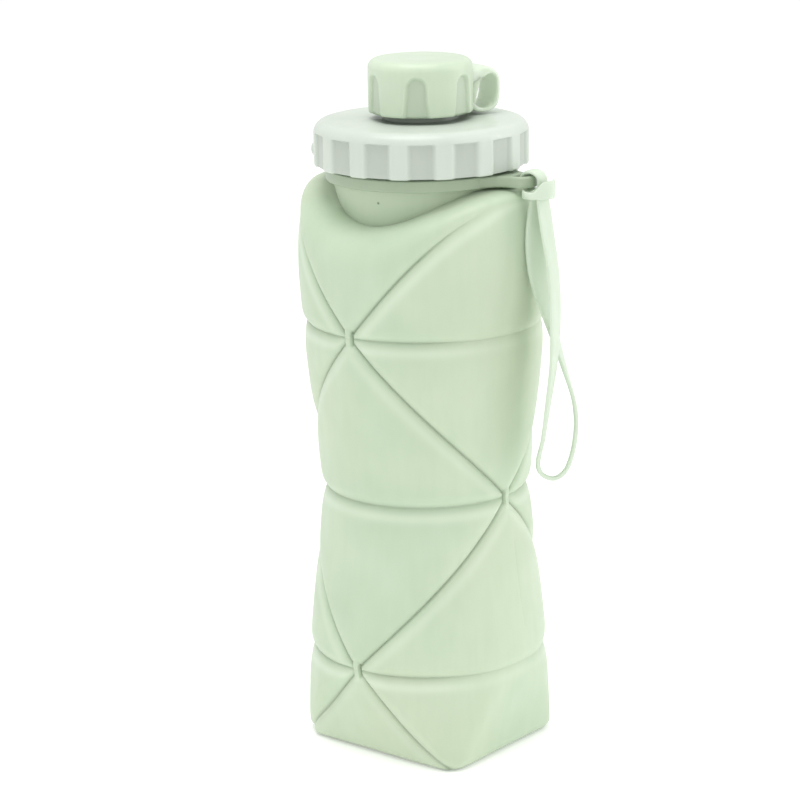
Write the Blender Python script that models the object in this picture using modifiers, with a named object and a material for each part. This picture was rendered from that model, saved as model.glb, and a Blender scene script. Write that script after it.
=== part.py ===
"""Folding water bottle: a soft silicone body that shortens along its creases, a threaded neck,
a fluted screw lid with a spout, a small screw cap with a carry loop, and a strap that hangs
from a ring under the lid. Metres, +Z up, origin at the bottom centre. -Y is the front panel F
that carries the creases' upper and lower nodes, and +X is panel G with the middle node."""

import math

import bmesh
import bpy
from mathutils import Matrix, Vector

MM = 0.001
GAP = 0.3 * MM  # between pieces that touch on the real object

# Silicone body
BASE_HALF_X = 34.0 * MM
BASE_HALF_Y = 30.3 * MM
BASE_CORNER = 8.0 * MM
BASE_EDGE = 2.4 * MM
Z_CREASE_C = 31.8 * MM
Z_CREASE_B = 88.2 * MM
Z_CREASE_A = 144.4 * MM
R_CREASE_C = 39.2 * MM
R_WAIST = 34.1 * MM
R_CREASE_A = 39.0 * MM
R_SHOULDER = 40.7 * MM
Z_SHOULDER = 163.0 * MM
SILICONE_TOP = 190.6 * MM
SHOULDER_MEAN_Z = 184.6 * MM  # height of the line where the shoulder meets the bowl
SHOULDER_WAVE = 5.2 * MM  # that line is this much lower on F and higher on G
SHOULDER_ROLL = 12.0 * MM
SHOULDER_POWER = 3.0
R_BOWL_LOW = 26.6 * MM
R_BOWL_TOP = 28.4 * MM
WALL = 2.2 * MM
CREASE_DEPTH = 1.2 * MM
CREASE_HALF = 2.2 * MM
R_SOCKET = 25.0 * MM  # silicone bore that grips the neck insert
BODY_STEPS = 36
QUARTER_STEPS = BODY_STEPS // 4

# Neck insert, seals and threads
R_SLEEVE_OUT = 24.7 * MM
R_MOUTH = 22.6 * MM
Z_SLEEVE = 178.5 * MM
Z_FLANGE = 190.9 * MM
FLANGE_THICK = 2.2 * MM
R_BARREL_IN = 27.0 * MM
R_BARREL = 29.4 * MM
Z_RIM = 204.6 * MM
THREAD_LEAD = 6.4 * MM
THREAD_STARTS = 2
R_NECK_CREST = 30.7 * MM
Z_NECK_THREAD = 196.8 * MM

# Lid
LID_FLUTES = 15
FLUTE_TURN = math.radians(4.0)  # one section of the rim, so bars start on a section
R_LID = 35.0 * MM
FLUTE_DEPTH = 1.0 * MM
LID_EDGE = 3.6 * MM
Z_LID_BOTTOM = 195.8 * MM
Z_LID_TOP = 210.3 * MM
LID_PLATE = 3.3 * MM
R_LID_BORE = 31.6 * MM
R_LID_CREST = 30.1 * MM
Z_LID_THREAD = 198.4 * MM
R_SPOUT_BORE = 9.0 * MM
R_SPOUT = 12.0 * MM
R_COLLAR = 12.4 * MM
Z_COLLAR = 212.0 * MM
Z_SPOUT_RIM = 225.0 * MM
R_SPOUT_CREST = 13.2 * MM
Z_SPOUT_THREAD = 214.6 * MM

# Cap
R_CAP = 17.0 * MM
R_CAP_BORE = 14.2 * MM
R_CAP_CREST = 12.7 * MM
Z_CAP_BOTTOM = 212.5 * MM
Z_CAP_TOP = 230.0 * MM
CAP_PLATE = 2.6 * MM
CAP_EDGE = 2.4 * MM
Z_CAP_THREAD = 216.2 * MM
CAP_THREAD_TURN = 0.037  # keeps the thread's sections off the cap's own corners
GRIP_COUNT = 6
GRIP_WIDTH = 6.8 * MM
GRIP_FOOT = 8.8 * MM
GRIP_TOP_Z = 225.4 * MM
GRIP_DEPTH = 0.9 * MM
GRIP_FIRST = math.radians(-56.0)
LOOP_GRIP = 2  # the loop stands where this grip would be
LOOP_ANGLE = math.radians(69.0)
LOOP_WIDTH = 12.0 * MM
LOOP_THIN = 1.5 * MM

# Strap ring and strap
R_RING_IN = 29.8 * MM
R_RING = 31.3 * MM
Z_RING = 191.2 * MM
RING_TALL = 3.9 * MM
EAR_ANGLE = math.radians(5.0)
EAR_WIDTH = 10.0 * MM
EAR_REACH = 38.3 * MM  # from the bottle's axis to the centre of the ear's round end
EAR_SLOT_X = 2.3 * MM  # half sizes of the strap's slot, outwards and sideways
EAR_SLOT_Y = 3.3 * MM
SLOT_CORNER = 0.6 * MM
HITCH_WIDTH = 5.0 * MM
R_HITCH_IN = 2.7 * MM  # clears the ear's square bar all the way round
R_HITCH_OUT = 4.1 * MM
HITCH_STEPS = 24
STRAP_WIDTH = 7.4 * MM
STRAP_THICK = 1.4 * MM
LOOP_PLANE = math.radians(38.8)  # upright plane in which the wrist loop opens
BAND_LEAN = 0.24  # the band's outer edge stands a little higher in its lower bend


def new_collection(name):
    made = bpy.data.collections.new(name)
    bpy.context.scene.collection.children.link(made)
    return made


def material(name, colour, rough):
    made = bpy.data.materials.new(name)
    made.use_nodes = True
    shader = made.node_tree.nodes["Principled BSDF"]
    shader.inputs["Base Color"].default_value = (*colour, 1.0)
    shader.inputs["Roughness"].default_value = rough
    return made


def add_object(name, mesh, collection, smooth=True):
    made = bpy.data.objects.new(name, mesh)
    collection.objects.link(made)
    if smooth:
        mesh.polygons.foreach_set("use_smooth", [True] * len(mesh.polygons))
    return made


def mesh_from(bm, name):
    bmesh.ops.recalc_face_normals(bm, faces=bm.faces)
    mesh = bpy.data.meshes.new(name)
    bm.to_mesh(mesh)
    bm.free()
    return mesh


def at(radius, angle, z):
    return Vector((radius * math.cos(angle), radius * math.sin(angle), z))


def closed_loft(name, sections, collection):
    """A ring-shaped solid: each section is a closed row of points, and the last joins the first."""
    bm = bmesh.new()
    rows = [[bm.verts.new(p) for p in section] for section in sections]
    for k, row in enumerate(rows):
        join_rows(bm, row, rows[(k + 1) % len(rows)])
    return add_object(name, mesh_from(bm, name), collection)


def join_rows(bm, low, high):
    count = len(low)
    for i in range(count):
        j = (i + 1) % count
        bm.faces.new((low[i], low[j], high[j], high[i]))


def turned(name, profile, steps, collection):
    """A profile of (radius, z) pairs in order round a closed outline, turned about Z."""
    bm = bmesh.new()
    verts = [bm.verts.new((r, 0.0, z)) for r, z in profile]
    for i, v in enumerate(verts):
        bm.edges.new((v, verts[(i + 1) % len(verts)]))
    mesh = bpy.data.meshes.new(name)
    bm.to_mesh(mesh)
    bm.free()
    made = add_object(name, mesh, collection)
    screw = made.modifiers.new("turn", "SCREW")
    screw.axis = "Z"
    screw.angle = 2 * math.pi
    screw.steps = steps
    screw.render_steps = steps
    screw.use_merge_vertices = True
    screw.merge_threshold = 0.00001
    screw.use_normal_calculate = True
    settle(made)
    return made


def settle(made):
    """Apply an object's modifiers to its mesh."""
    graph = bpy.context.evaluated_depsgraph_get()
    mesh = bpy.data.meshes.new_from_object(made.evaluated_get(graph))
    made.modifiers.clear()
    made.data = mesh


def boolean(made, cutter, operation):
    step = made.modifiers.new(cutter.name, "BOOLEAN")
    step.operation = operation
    step.solver = "EXACT"
    step.object = cutter
    cutter.hide_render = True
    cutter.display_type = "WIRE"


def thread_ridge(name, root, crest, z_start, turns, first_angle, collection, steps=24):
    """One thread ridge: a trapezium swept up a helix. It tapers to nothing at both ends."""
    bm = bmesh.new()
    count = max(4, round(steps * turns))
    sink = 0.5 * MM if crest > root else -0.5 * MM
    rows = []
    for k in range(count + 1):
        share = k / count
        angle = first_angle + 2 * math.pi * turns * share
        z = z_start + THREAD_LEAD * turns * share
        grow = min(1.0, min(share, 1 - share) * count / 2 + 0.25)
        tip = root + (crest - root) * grow
        rows.append([
            bm.verts.new(at(root - sink, angle, z - 0.8 * MM)),
            bm.verts.new(at(tip, angle, z - 0.35 * MM)),
            bm.verts.new(at(tip, angle, z + 0.35 * MM)),
            bm.verts.new(at(root - sink, angle, z + 0.8 * MM)),
        ])
    for low, high in zip(rows, rows[1:]):
        join_rows(bm, low, high)
    bm.faces.new(rows[0])
    bm.faces.new(rows[-1])
    return add_object(name, mesh_from(bm, name), collection)


# ---------------------------------------------------------------- silicone body

def base_outline(angle, inset=0.0):
    """Radius of the rounded-rectangle foot in one direction."""
    half_x = BASE_HALF_X - inset
    half_y = BASE_HALF_Y - inset
    corner = BASE_CORNER
    cx = abs(math.cos(angle))
    cy = abs(math.sin(angle))
    if cx * half_y <= cy * (half_x - corner):
        return half_y / cy
    if cy * half_x <= cx * (half_y - corner):
        return half_x / cx
    mid_x = half_x - corner
    mid_y = half_y - corner
    along = mid_x * cx + mid_y * cy
    return along + math.sqrt(along**2 - mid_x**2 - mid_y**2 + corner**2)


def blend(a, b, share):
    return a + (b - a) * share


def crease_at(z, level):
    """How much a level crease pulls the wall in at this height, 0 to 1."""
    return max(0.0, 1 - abs(z - level) / CREASE_HALF)


def shoulder_line(angle):
    return SHOULDER_MEAN_Z + SHOULDER_WAVE * math.cos(2 * angle)


def bowl_radius(angle, z):
    low = shoulder_line(angle)
    return blend(R_BOWL_LOW, R_BOWL_TOP, (z - low) / max(SILICONE_TOP - low, 0.5 * MM))


def wall_radius(angle, z):
    """Outer radius of the silicone below the bowl."""
    if z <= Z_CREASE_C:
        return blend(base_outline(angle), R_CREASE_C, z / Z_CREASE_C)
    if z <= Z_CREASE_B:
        return blend(R_CREASE_C, R_WAIST, (z - Z_CREASE_C) / (Z_CREASE_B - Z_CREASE_C))
    if z <= Z_CREASE_A:
        return blend(R_WAIST, R_CREASE_A, (z - Z_CREASE_B) / (Z_CREASE_A - Z_CREASE_B))
    full = blend(R_CREASE_A, R_SHOULDER, min(1.0, (z - Z_CREASE_A) / (Z_SHOULDER - Z_CREASE_A)))
    start = shoulder_line(angle) - SHOULDER_ROLL
    if z <= start:
        return full
    share = min(1.0, (z - start) / SHOULDER_ROLL)
    round_over = (1 - share**SHOULDER_POWER) ** (1 / SHOULDER_POWER)
    return R_BOWL_LOW + (full - R_BOWL_LOW) * round_over


def body_angle(step):
    return 2 * math.pi * step / BODY_STEPS


def row_of(radius_of, z):
    """A row of points round the body; both arguments may depend on the angle."""
    row = []
    for i in range(BODY_STEPS):
        angle = body_angle(i)
        height = z(angle) if callable(z) else z
        row.append(at(radius_of(angle, height), angle, height))
    return row


def inner_radius(angle, z):
    return wall_radius(angle, z) - WALL


def base_tier(collection):
    """The closed foot: a rounded-rectangle floor that lofts into the round lower crease."""
    top = Z_CREASE_C - GAP / 2
    floor = 3.0 * MM
    crease_heights = [4.0, 9.0, 16.0, 23.0, 29.4]
    sections = [
        row_of(lambda a, z: base_outline(a, BASE_EDGE), 0.0),
        row_of(lambda a, z: wall_radius(a, z) - 0.7 * MM, 0.7 * MM),
    ]
    sections += [row_of(wall_radius, h * MM) for h in crease_heights]
    sections.append(row_of(lambda a, z: wall_radius(a, z) - CREASE_DEPTH, top))
    sections.append(row_of(lambda a, z: inner_radius(a, z) - CREASE_DEPTH, top))
    sections.append(row_of(inner_radius, crease_heights[-1] * MM))
    sections.append(row_of(inner_radius, 15.0 * MM))
    sections.append(row_of(lambda a, z: inner_radius(a, z) - 1.5 * MM, floor))
    bm = bmesh.new()
    rows = [[bm.verts.new(p) for p in section] for section in sections]
    for low, high in zip(rows, rows[1:]):
        join_rows(bm, low, high)
    bm.faces.new(rows[0])
    bm.faces.new(rows[-1])
    return add_object("base_tier", mesh_from(bm, "base_tier"), collection)


def folding_tier(name, low, high, node_above, collection):
    """One tier between two level creases. Its diagonal creases run from the nodes on one level
    to the nodes on the other, a quarter turn on, so the rows' corners lie on them."""
    bottom = low + GAP / 2
    top = high - GAP / 2
    heights = [bottom] + [blend(low, high, k / QUARTER_STEPS) for k in range(1, QUARTER_STEPS)]
    heights.append(top)
    rows = []
    for k, z in enumerate(heights):
        from_node = k if node_above else QUARTER_STEPS - k
        row = []
        for i in range(BODY_STEPS):
            angle = body_angle(i)
            off_side = min(i % (2 * QUARTER_STEPS), -i % (2 * QUARTER_STEPS))
            pull = 0.7 if off_side == from_node else 0.0
            pull = max(pull, crease_at(z, low), crease_at(z, high))
            row.append(at(wall_radius(angle, z) - CREASE_DEPTH * pull, angle, z))
        rows.append(row)
    rows.append(row_of(lambda a, z: inner_radius(a, z) - CREASE_DEPTH, top))
    rows.append(row_of(inner_radius, blend(low, high, 0.9)))
    rows.append(row_of(inner_radius, blend(low, high, 0.1)))
    rows.append(row_of(lambda a, z: inner_radius(a, z) - CREASE_DEPTH, bottom))
    return closed_loft(name, rows, collection)


def shoulder_tier(collection):
    """The top panels: up from the upper crease, over the shoulder and into the neck bowl."""
    bottom = Z_CREASE_A + GAP / 2

    def height_at(share):
        return lambda a: blend(Z_CREASE_A, shoulder_line(a), share)

    def bowl_at(share):
        return lambda a: blend(shoulder_line(a), SILICONE_TOP, share)

    rows = [row_of(lambda a, z: wall_radius(a, z) - CREASE_DEPTH, bottom)]
    rows += [row_of(wall_radius, height_at(s)) for s in (0.06, 0.2, 0.36, 0.52, 0.66, 0.78)]
    rows += [row_of(wall_radius, height_at(s)) for s in (0.86, 0.925, 0.97, 0.995)]
    rows += [row_of(bowl_radius, bowl_at(s)) for s in (0.12, 0.6, 1.0)]
    rows.append(row_of(lambda a, z: R_SOCKET, SILICONE_TOP))
    rows.append(row_of(lambda a, z: R_SOCKET, 175.5 * MM))
    rows.append(row_of(lambda a, z: 30.0 * MM, 174.2 * MM))
    rows.append(row_of(lambda a, z: 35.0 * MM, 170.5 * MM))
    rows.append(row_of(lambda a, z: R_SHOULDER - WALL, 163.0 * MM))
    rows.append(row_of(inner_radius, Z_CREASE_A + CREASE_HALF))
    rows.append(row_of(lambda a, z: inner_radius(a, z) - CREASE_DEPTH, bottom))
    return closed_loft("shoulder_tier", rows, collection)


# ---------------------------------------------------------------- neck, lid and cap

def add_threads(made, root, crest, z_start, turns, first_angle, cutters):
    for k in range(THREAD_STARTS):
        angle = first_angle + 2 * math.pi * k / THREAD_STARTS
        name = f"{made.name}_thread_{k}"
        ridge = thread_ridge(name, root, crest, z_start, turns, angle, cutters)
        boolean(made, ridge, "UNION")
    settle(made)


def neck_insert(collection, cutters):
    profile = [
        (R_BARREL, Z_RIM),
        (R_BARREL, Z_FLANGE),
        (R_SLEEVE_OUT, Z_FLANGE),
        (R_SLEEVE_OUT, Z_SLEEVE),
        (R_MOUTH, Z_SLEEVE),
        (R_MOUTH, Z_FLANGE + FLANGE_THICK),
        (R_BARREL_IN, Z_FLANGE + FLANGE_THICK),
        (R_BARREL_IN, Z_RIM),
    ]
    made = turned("neck_insert", profile, 48, collection)
    add_threads(made, R_BARREL, R_NECK_CREST, Z_NECK_THREAD, 0.9, 0.0, cutters)
    return made


def seal(name, r_out, r_in, z_low, z_high, steps, collection):
    edge = 0.3 * MM
    profile = [
        (r_out - edge, z_high),
        (r_out, z_high - edge),
        (r_out, z_low + edge),
        (r_out - edge, z_low),
        (r_in, z_low),
        (r_in, z_high),
    ]
    return turned(name, profile, steps, collection)


def lid_outline(angle, inset):
    """The fluted rim: raised and sunk bars of equal width."""
    phase = ((angle - FLUTE_TURN) * LID_FLUTES / (2 * math.pi)) % 1.0
    raised = phase < 0.5
    return R_LID - inset - (0.0 if raised else FLUTE_DEPTH)


def lid(collection, cutters):
    """A fluted shell with a plate, and the spout standing on it. One moulding."""
    per_flute = 6
    count = LID_FLUTES * per_flute

    def ring(radius_of, z):
        return [
            at(radius_of(2 * math.pi * (i + 0.5) / count), 2 * math.pi * (i + 0.5) / count, z)
            for i in range(count)
        ]

    def rim(inset, z):
        return ring(lambda a: lid_outline(a, inset), z)

    def circle(radius, z):
        return ring(lambda a: radius, z)

    edge = LID_EDGE
    sections = [rim(0.5 * MM, Z_LID_BOTTOM), rim(0.0, Z_LID_BOTTOM + 0.6 * MM)]
    for turn in (0.0, 30.0, 60.0):
        slope = math.radians(turn)
        inset = edge * (1 - math.cos(slope))
        sections.append(rim(inset, Z_LID_TOP - edge + edge * math.sin(slope)))
    sections += [
        circle(R_LID - edge - FLUTE_DEPTH, Z_LID_TOP),
        circle(R_COLLAR, Z_LID_TOP),
        circle(R_COLLAR, Z_COLLAR),
        circle(R_SPOUT, Z_COLLAR),
        circle(R_SPOUT, Z_SPOUT_RIM),
        circle(R_SPOUT_BORE, Z_SPOUT_RIM),
        circle(R_SPOUT_BORE, Z_LID_TOP - LID_PLATE),
        circle(R_LID_BORE, Z_LID_TOP - LID_PLATE),
        circle(R_LID_BORE, Z_LID_BOTTOM),
    ]
    made = closed_loft("lid", sections, collection)
    add_threads(made, R_LID_BORE, R_LID_CREST, Z_LID_THREAD, 0.7, 0.0, cutters)
    add_threads(made, R_SPOUT, R_SPOUT_CREST, Z_SPOUT_THREAD, 0.9, 0.0, cutters)
    return made


def grip_cutter(index, cutters):
    """A thin upright slab with an arched top, held against the cap's side."""
    half = GRIP_WIDTH / 2
    foot = GRIP_FOOT / 2
    z_foot = Z_CAP_BOTTOM - 1.0 * MM
    z_arch = GRIP_TOP_Z - half
    points = [(-foot, z_foot), (foot, z_foot)]
    for k in range(9):
        turn = math.pi * k / 8
        points.append((half * math.cos(turn), z_arch + half * math.sin(turn)))
    bm = bmesh.new()
    near = R_CAP - GRIP_DEPTH
    far = R_CAP + 3.0 * MM
    turn = Matrix.Rotation(GRIP_FIRST + 2 * math.pi * index / GRIP_COUNT, 4, "Z")
    inner = [bm.verts.new(turn @ Vector((near, x, z))) for x, z in points]
    outer = [bm.verts.new(turn @ Vector((far, x, z))) for x, z in points]
    join_rows(bm, inner, outer)
    bm.faces.new(inner)
    bm.faces.new(outer)
    name = f"grip_{index}"
    return add_object(name, mesh_from(bm, name), cutters)


def loop_band(cutters):
    """The carry loop: a flat band that leaves the cap near its top and returns at its foot."""
    path = [(15.0, 223.6), (18.0, 223.8), (20.2, 224.1), (22.2, 224.5), (24.2, 224.1)]
    path += [(25.8, 222.2), (26.1, 219.2), (25.9, 216.0), (25.1, 213.6), (23.3, 212.2)]
    path += [(20.8, 211.8), (18.2, 212.3), (15.4, 213.8)]
    root = [5.4 * MM, 5.2 * MM, 4.2 * MM, 2.8 * MM, 1.8 * MM]
    thick = root + [LOOP_THIN] * (len(path) - len(root))
    half_wide = LOOP_WIDTH / 2
    bm = bmesh.new()
    turn = Matrix.Rotation(LOOP_ANGLE, 4, "Z")
    points = [Vector((r * MM, 0.0, z * MM)) for r, z in path]
    rows = []
    for k, here in enumerate(points):
        before = points[max(k - 1, 0)]
        after = points[min(k + 1, len(points) - 1)]
        along = (after - before).normalized()
        out = Vector((-along.z, 0.0, along.x)) * (thick[k] / 2)
        side = Vector((0.0, half_wide, 0.0))
        corners = [here + out - side, here + out + side, here - out + side, here - out - side]
        rows.append([bm.verts.new(turn @ c) for c in corners])
    for low, high in zip(rows, rows[1:]):
        join_rows(bm, low, high)
    bm.faces.new(rows[0])
    bm.faces.new(rows[-1])
    return add_object("loop_band", mesh_from(bm, "loop_band"), cutters)


def cap(collection, cutters):
    edge = CAP_EDGE
    profile = [(0.0, Z_CAP_TOP), (R_CAP - edge, Z_CAP_TOP)]
    for degrees in (30.0, 60.0):
        slope = math.radians(degrees)
        profile.append((R_CAP - edge + edge * math.sin(slope), Z_CAP_TOP - edge + edge * math.cos(slope)))
    profile += [
        (R_CAP, Z_CAP_TOP - edge),
        (R_CAP, Z_CAP_BOTTOM + 0.8 * MM),
        (R_CAP - 0.8 * MM, Z_CAP_BOTTOM),
        (R_CAP_BORE, Z_CAP_BOTTOM),
        (R_CAP_BORE, Z_CAP_TOP - CAP_PLATE),
        (0.0, Z_CAP_TOP - CAP_PLATE),
    ]
    made = turned_solid("cap", profile, 60, collection)
    for index in range(GRIP_COUNT):
        if index != LOOP_GRIP:
            boolean(made, grip_cutter(index, cutters), "DIFFERENCE")
    boolean(made, loop_band(cutters), "UNION")
    settle(made)
    add_threads(made, R_CAP_BORE, R_CAP_CREST, Z_CAP_THREAD, 0.8, CAP_THREAD_TURN, cutters)
    return made


def turned_solid(name, profile, steps, collection):
    """A profile of (radius, z) pairs that starts and ends on the axis, turned about Z."""
    bm = bmesh.new()
    verts = [bm.verts.new((r, 0.0, z)) for r, z in profile]
    for first, second in zip(verts, verts[1:]):
        bm.edges.new((first, second))
    mesh = bpy.data.meshes.new(name)
    bm.to_mesh(mesh)
    bm.free()
    made = add_object(name, mesh, collection)
    screw = made.modifiers.new("turn", "SCREW")
    screw.axis = "Z"
    screw.angle = 2 * math.pi
    screw.steps = steps
    screw.render_steps = steps
    screw.use_merge_vertices = True
    screw.merge_threshold = 0.00001
    screw.use_normal_calculate = True
    settle(made)
    return made


# ---------------------------------------------------------------- strap ring and strap

def strap_ring(collection, cutters):
    """A flat ring round the neck with one ear, a tongue with a hole for the strap."""
    top = Z_RING + RING_TALL
    edge = 0.5 * MM
    profile = [
        (R_RING - edge, top),
        (R_RING, top - edge),
        (R_RING, Z_RING + edge),
        (R_RING - edge, Z_RING),
        (R_RING_IN, Z_RING),
        (R_RING_IN, top),
    ]
    made = turned("strap_ring", profile, 48, collection)
    half = EAR_WIDTH / 2
    start = R_RING_IN + 0.6 * MM
    outline = [(start, half * 1.5), (start, -half * 1.5), (R_RING + 1.5 * MM, -half * 1.06)]
    for k in range(13):
        turn = -math.pi / 2 + math.pi * k / 12
        outline.append((EAR_REACH + half * math.cos(turn), half * math.sin(turn)))
    outline.append((R_RING + 1.5 * MM, half * 1.06))
    bm = bmesh.new()
    spin = Matrix.Rotation(EAR_ANGLE, 4, "Z")
    low = [bm.verts.new(spin @ Vector((x, y, Z_RING + 0.02 * MM))) for x, y in outline]
    high = [bm.verts.new(spin @ Vector((x, y, top - 0.02 * MM))) for x, y in outline]
    join_rows(bm, low, high)
    bm.faces.new(low)
    bm.faces.new(high)
    ear = add_object("ear_blank", mesh_from(bm, "ear_blank"), cutters)
    boolean(made, ear, "UNION")
    flat_x = EAR_SLOT_X - SLOT_CORNER
    flat_y = EAR_SLOT_Y - SLOT_CORNER
    quarter = [(EAR_SLOT_X, flat_y), (flat_x, EAR_SLOT_Y)]
    slot = quarter + [(-flat_x, EAR_SLOT_Y), (-EAR_SLOT_X, flat_y)]
    slot += [(-EAR_SLOT_X, -flat_y), (-flat_x, -EAR_SLOT_Y)]
    slot += [(flat_x, -EAR_SLOT_Y), (EAR_SLOT_X, -flat_y)]
    bm = bmesh.new()
    low = [bm.verts.new(spin @ Vector((EAR_REACH + x, y, Z_RING - 1.0 * MM))) for x, y in slot]
    high = [bm.verts.new(spin @ Vector((EAR_REACH + x, y, top + 1.0 * MM))) for x, y in slot]
    join_rows(bm, low, high)
    bm.faces.new(low)
    bm.faces.new(high)
    hole = add_object("ear_hole", mesh_from(bm, "ear_hole"), cutters)
    boolean(made, hole, "DIFFERENCE")
    settle(made)
    return made


def strap_frame():
    """Where the strap's top sits: radius of the ear's outer bar and its mid height."""
    bar = EAR_REACH + (EAR_WIDTH / 2 + EAR_SLOT_X) / 2
    return bar, Z_RING + RING_TALL / 2


def ribbon(name, points, sides, thick, wide, collection):
    """A flat band along points; sides gives the direction of its width at each point."""
    bm = bmesh.new()
    rows = []
    for k, here in enumerate(points):
        along = (points[min(k + 1, len(points) - 1)] - points[max(k - 1, 0)]).normalized()
        side = (sides[k] - along * sides[k].dot(along)).normalized()
        out = along.cross(side) * (thick / 2)
        side = side * (wide / 2)
        corners = [here + side + out, here - side + out, here - side - out, here + side - out]
        rows.append([bm.verts.new(c) for c in corners])
    for low, high in zip(rows, rows[1:]):
        join_rows(bm, low, high)
    bm.faces.new(rows[0])
    bm.faces.new(rows[-1])
    return add_object(name, mesh_from(bm, name), collection)


def strap_hitch(collection):
    """The strap's bight round the ear's outer bar: a sleeve that passes through the slot."""
    bar, z_mid = strap_frame()
    turn = Matrix.Rotation(EAR_ANGLE, 4, "Z")
    half_wide = HITCH_WIDTH / 2
    bm = bmesh.new()
    rings = []
    for side, reach in (
        (-half_wide, R_HITCH_OUT),
        (half_wide, R_HITCH_OUT),
        (half_wide, R_HITCH_IN),
        (-half_wide, R_HITCH_IN),
    ):
        ring = []
        for k in range(HITCH_STEPS):
            angle = 2 * math.pi * k / HITCH_STEPS
            x = bar + reach * math.cos(angle)
            z = z_mid + reach * math.sin(angle)
            ring.append(bm.verts.new(turn @ Vector((x, side, z))))
        rings.append(ring)
    for k, ring in enumerate(rings):
        join_rows(bm, ring, rings[(k + 1) % len(rings)])
    return add_object("strap_hitch", mesh_from(bm, "strap_hitch"), collection)


def strap_route():
    """The wrist loop's course: across its plane, out of it, height, and the turn of its face.
    One run hangs in front, the band bends below, and the other run climbs behind it."""
    down = [(38.0, 27.4, 188.7, 124), (39.6, 28.4, 177.0, 122), (41.4, 29.6, 164.0, 118)]
    down += [(41.9, 30.6, 150.0, 115), (41.3, 30.6, 135.5, 106), (39.5, 30.0, 121.5, 99)]
    down += [(38.0, 28.6, 110.0, 94), (36.4, 27.2, 101.5, 90), (37.7, 26.6, 97.3, 90)]
    up = [(41.8, 26.0, 95.7, 90), (45.6, 25.4, 98.5, 90), (47.9, 24.6, 105.0, 90)]
    up += [(48.9, 23.8, 113.0, 90), (48.2, 23.2, 121.0, 92), (45.4, 22.7, 131.0, 99)]
    up += [(42.2, 22.6, 142.0, 110), (39.0, 23.4, 154.0, 130), (36.6, 24.6, 164.5, 145)]
    up += [(35.9, 24.9, 174.0, 150), (36.6, 24.7, 182.5, 150), (37.4, 24.5, 188.7, 150)]
    return down + up


def smooth_course(points, per_span):
    """A smooth curve through tuples of numbers, with more points between them."""
    first = tuple(2 * a - b for a, b in zip(points[0], points[1]))
    last = tuple(2 * a - b for a, b in zip(points[-1], points[-2]))
    padded = [first] + points + [last]
    course = []
    for k in range(1, len(padded) - 2):
        for step in range(per_span):
            t = step / per_span
            place = []
            for a, b, c, d in zip(*padded[k - 1 : k + 3]):
                bend = (c - a) * t + (2 * a - 5 * b + 4 * c - d) * t**2
                place.append(b + 0.5 * (bend + (3 * b - a - 3 * c + d) * t**3))
            course.append(place)
    return course + [list(points[-1])]


def strap_loop(collection):
    """The wrist loop that hangs below the hitch, a band that twists on its way."""
    across = Vector((math.cos(LOOP_PLANE), math.sin(LOOP_PLANE), 0.0))
    outward = Vector((math.sin(LOOP_PLANE), -math.cos(LOOP_PLANE), 0.0))
    points = []
    sides = []
    for a, b, z, turn in smooth_course(strap_route(), 3):
        points.append((across * a + outward * b + Vector((0.0, 0.0, z))) * MM)
        face = math.radians(turn)
        lean = Vector((0.0, 0.0, BAND_LEAN * math.sin(face)))
        sides.append(across * math.cos(face) + outward * math.sin(face) + lean)
    return ribbon("strap_loop", points, sides, STRAP_THICK, STRAP_WIDTH, collection)


def main():
    for old in list(bpy.data.objects):
        bpy.data.objects.remove(old)
    bottle = new_collection("folding_water_bottle")
    cutters = new_collection("cutters")
    silicone = material("silicone_sage", (0.55, 0.68, 0.50), 0.55)
    hard = material("pp_sage", (0.62, 0.72, 0.62), 0.4)
    pale = material("pp_cap", (0.60, 0.71, 0.57), 0.4)
    clear = material("silicone_seal", (0.75, 0.78, 0.74), 0.5)
    band = material("strap_silicone", (0.60, 0.72, 0.56), 0.5)
    made = {
        base_tier(bottle): silicone,
        folding_tier("lower_tier", Z_CREASE_C, Z_CREASE_B, False, bottle): silicone,
        folding_tier("upper_tier", Z_CREASE_B, Z_CREASE_A, True, bottle): silicone,
        shoulder_tier(bottle): silicone,
        neck_insert(bottle, cutters): hard,
        seal("lid_gasket", 29.2 * MM, 27.0 * MM, Z_RIM + GAP, 206.7 * MM, 48, bottle): clear,
        lid(bottle, cutters): hard,
        seal("cap_gasket", 12.4 * MM, 8.6 * MM, Z_SPOUT_RIM + GAP, 227.1 * MM, 36, bottle): clear,
        cap(bottle, cutters): pale,
        strap_ring(bottle, cutters): band,
        strap_hitch(bottle): band,
        strap_loop(bottle): band,
    }
    for piece, look in made.items():
        piece.data.materials.clear()
        piece.data.materials.append(look)


main()
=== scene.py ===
"""Folding water bottle, photographed on white. Everything is in metres in the CAD frame:
+Z up, the foot's centre at the origin, front panel F towards -Y, side panel G towards +X."""

import math

import bmesh
import bpy
import numpy as np
from mathutils import Matrix, Vector


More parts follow.
